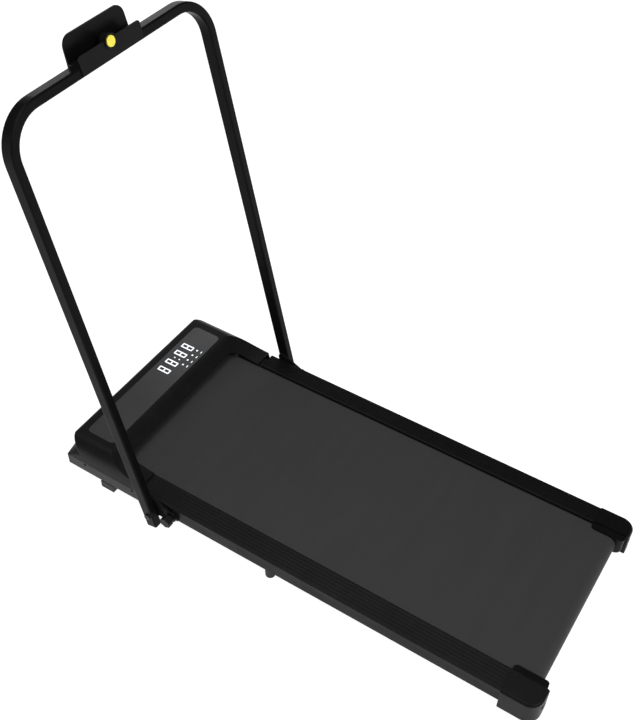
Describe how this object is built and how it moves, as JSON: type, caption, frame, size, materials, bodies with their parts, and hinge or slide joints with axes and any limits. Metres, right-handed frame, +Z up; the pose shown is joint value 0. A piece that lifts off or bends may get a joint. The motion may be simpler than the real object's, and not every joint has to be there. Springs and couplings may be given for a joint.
{
  "type": "treadmill",
  "caption": "Slim walking treadmill: running belt between ribbed foot rails, low motor hood with a display, rear end caps, and a folding U handlebar with a phone holder and a button.",
  "frame": {"origin": "on the floor, under the middle of the overall box", "axes": "+Z up, +Y the way the user faces, towards the motor hood, +X the user's right"},
  "size_m": [0.5776, 1.179, 1.0317],
  "materials": {
    "frame_steel": "semi-gloss black powder coat with a fine texture",
    "handlebar_paint": "semi-gloss black powder coat",
    "deck_wood": "pressed fibreboard with a dark waxed top",
    "foot_rubber": "matte black rubber",
    "screw_steel": "zinc-plated steel",
    "dark_screws": "blackened steel",
    "belt_rubber": "fine woven-embossed running belt, matte",
    "rail_plastic": "black moulded plastic with anti-slip ribs",
    "cap_plastic": "black moulded plastic, satin",
    "roller_steel": "turned steel",
    "axle_steel": "ground steel",
    "bearing_steel": "polished bearing steel",
    "block_plastic": "black glass-filled nylon",
    "pulley_plastic": "dark grey ribbed pulley",
    "pulley_aluminium": "machined aluminium",
    "drive_belt_rubber": "ribbed rubber belt",
    "motor_paint": "dark painted motor can",
    "circuit_board": "green solder mask",
    "heat_sink_aluminium": "extruded aluminium",
    "wire_insulation": "red flat lead",
    "hood_plastic": "black moulded plastic with a fine spark texture",
    "lens_plastic": "smoked glossy acrylic",
    "display_white": "lit white display segments",
    "inlet_plastic": "black moulded plastic",
    "rocker_plastic": "dark red rocker",
    "wheel_plastic": "black moulded plastic",
    "knob_plastic": "black moulded star knob",
    "holder_plastic": "black moulded plastic, satin",
    "bezel_plastic": "glossy black ring",
    "button_yellow": "glossy yellow button"
  },
  "bodies": {
    "frame": {"axle_blocks": "block_plastic", "belly_pan": "hood_plastic", "bracket_bolts": "dark_screws", "controller_board": "circuit_board", "cross_members": "frame_steel", "deck_board": "deck_wood", "deck_cushions": "foot_rubber", "deck_screws": "screw_steel", "display_board": "circuit_board", "display_digits": "display_white", "display_lens": "lens_plastic", "drive_belt": "drive_belt_rubber", "drive_motor": "motor_paint", "fold_brackets": "frame_steel", "front_axle": "axle_steel", "heat_sink": "heat_sink_aluminium", "lower_shroud": "hood_plastic", "motor_bracket": "frame_steel", "motor_hood": "hood_plastic", "pivot_nut": "dark_screws", "pivot_studs": "axle_steel", "power_inlet": "inlet_plastic", "rear_axle": "axle_steel", "rear_cap_left": "cap_plastic", "rear_cap_right": "cap_plastic", "rubber_feet": "foot_rubber", "running_belt": "belt_rubber", "shroud_screws": "dark_screws", "side_frame_left": "frame_steel", "side_frame_right": "frame_steel", "side_rail_left": "rail_plastic", "side_rail_right": "rail_plastic", "switch_housing": "inlet_plastic", "wheel_axles": "axle_steel", "wheel_housing_left": "wheel_plastic", "wheel_housing_right": "wheel_plastic", "wiring": "wire_insulation"},
    "handlebar": {"handlebar": "handlebar_paint", "leg_plugs": "cap_plastic", "leg_bolts": "dark_screws", "hinge_plate_left": "frame_steel", "hinge_plate_right": "frame_steel", "phone_holder": "holder_plastic", "button_bezel": "bezel_plastic", "button_switch": "block_plastic", "holder_screws": "dark_screws"},
    "button": {"button_cap": "button_yellow"},
    "front_roller": {"front_roller": "roller_steel", "front_roller_bearings": "bearing_steel", "roller_pulley": "pulley_plastic"},
    "rear_roller": {"rear_roller": "roller_steel", "rear_roller_bearings": "bearing_steel"},
    "motor_rotor": {"motor_shaft": "axle_steel", "motor_pulley": "pulley_aluminium"},
    "wheel_left": {"transport_wheel_left": "wheel_plastic"},
    "wheel_right": {"transport_wheel_right": "wheel_plastic"},
    "knob": {"lock_knob": "knob_plastic"},
    "rocker": {"power_rocker": "rocker_plastic"},
    "tension_left": {"tension_bolt_left": "screw_steel"},
    "tension_right": {"tension_bolt_right": "screw_steel"}
  },
  "joints": [
    {"name": "handlebar_fold", "type": "hinge", "parent": "frame", "child": "handlebar", "pos_m": [0, 0.2835, 0.046], "axis": [1, 0, 0], "range_deg": [0, 101.6]},
    {"name": "button_press", "type": "slide", "parent": "handlebar", "child": "button", "axis": [0, 0.9795, -0.2016], "range_m": [0, 0.002], "stiffness_N_per_m": 800},
    {"name": "front_roller_spin", "type": "hinge", "parent": "frame", "child": "front_roller", "pos_m": [0, 0.462, 0.0519], "axis": [1, 0, 0], "continuous": true},
    {"name": "rear_roller_spin", "type": "hinge", "parent": "frame", "child": "rear_roller", "pos_m": [0, -0.5484, 0.0519], "axis": [1, 0, 0], "continuous": true},
    {"name": "motor_spin", "type": "hinge", "parent": "frame", "child": "motor_rotor", "pos_m": [0, 0.535, 0.066], "axis": [1, 0, 0], "continuous": true},
    {"name": "transport_wheel_left_spin", "type": "hinge", "parent": "frame", "child": "wheel_left", "pos_m": [-0.2375, 0.477, 0.012], "axis": [1, 0, 0], "continuous": true},
    {"name": "transport_wheel_right_spin", "type": "hinge", "parent": "frame", "child": "wheel_right", "pos_m": [0.2375, 0.477, 0.012], "axis": [1, 0, 0], "continuous": true},
    {"name": "lock_knob_turn", "type": "hinge", "parent": "frame", "child": "knob", "pos_m": [-0.2732, 0.2835, 0.046], "axis": [1, 0, 0], "continuous": true},
    {"name": "power_rocker_tip", "type": "hinge", "parent": "frame", "child": "rocker", "pos_m": [0.2, 0.5835, 0.043], "axis": [0, 0, 1], "range_deg": [-14, 0]},
    {"name": "tension_bolt_left_turn", "type": "hinge", "parent": "frame", "child": "tension_left", "pos_m": [-0.228, -0.565, 0.0519], "axis": [0, 1, 0], "continuous": true},
    {"name": "tension_bolt_right_turn", "type": "hinge", "parent": "frame", "child": "tension_right", "pos_m": [0.228, -0.565, 0.0519], "axis": [0, 1, 0], "continuous": true}
  ],
  "couplings": [
    {"joint": "rear_roller_spin", "follows": "front_roller_spin", "ratio": 1},
    {"joint": "motor_spin", "follows": "front_roller_spin", "ratio": 1.5417}
  ]
}
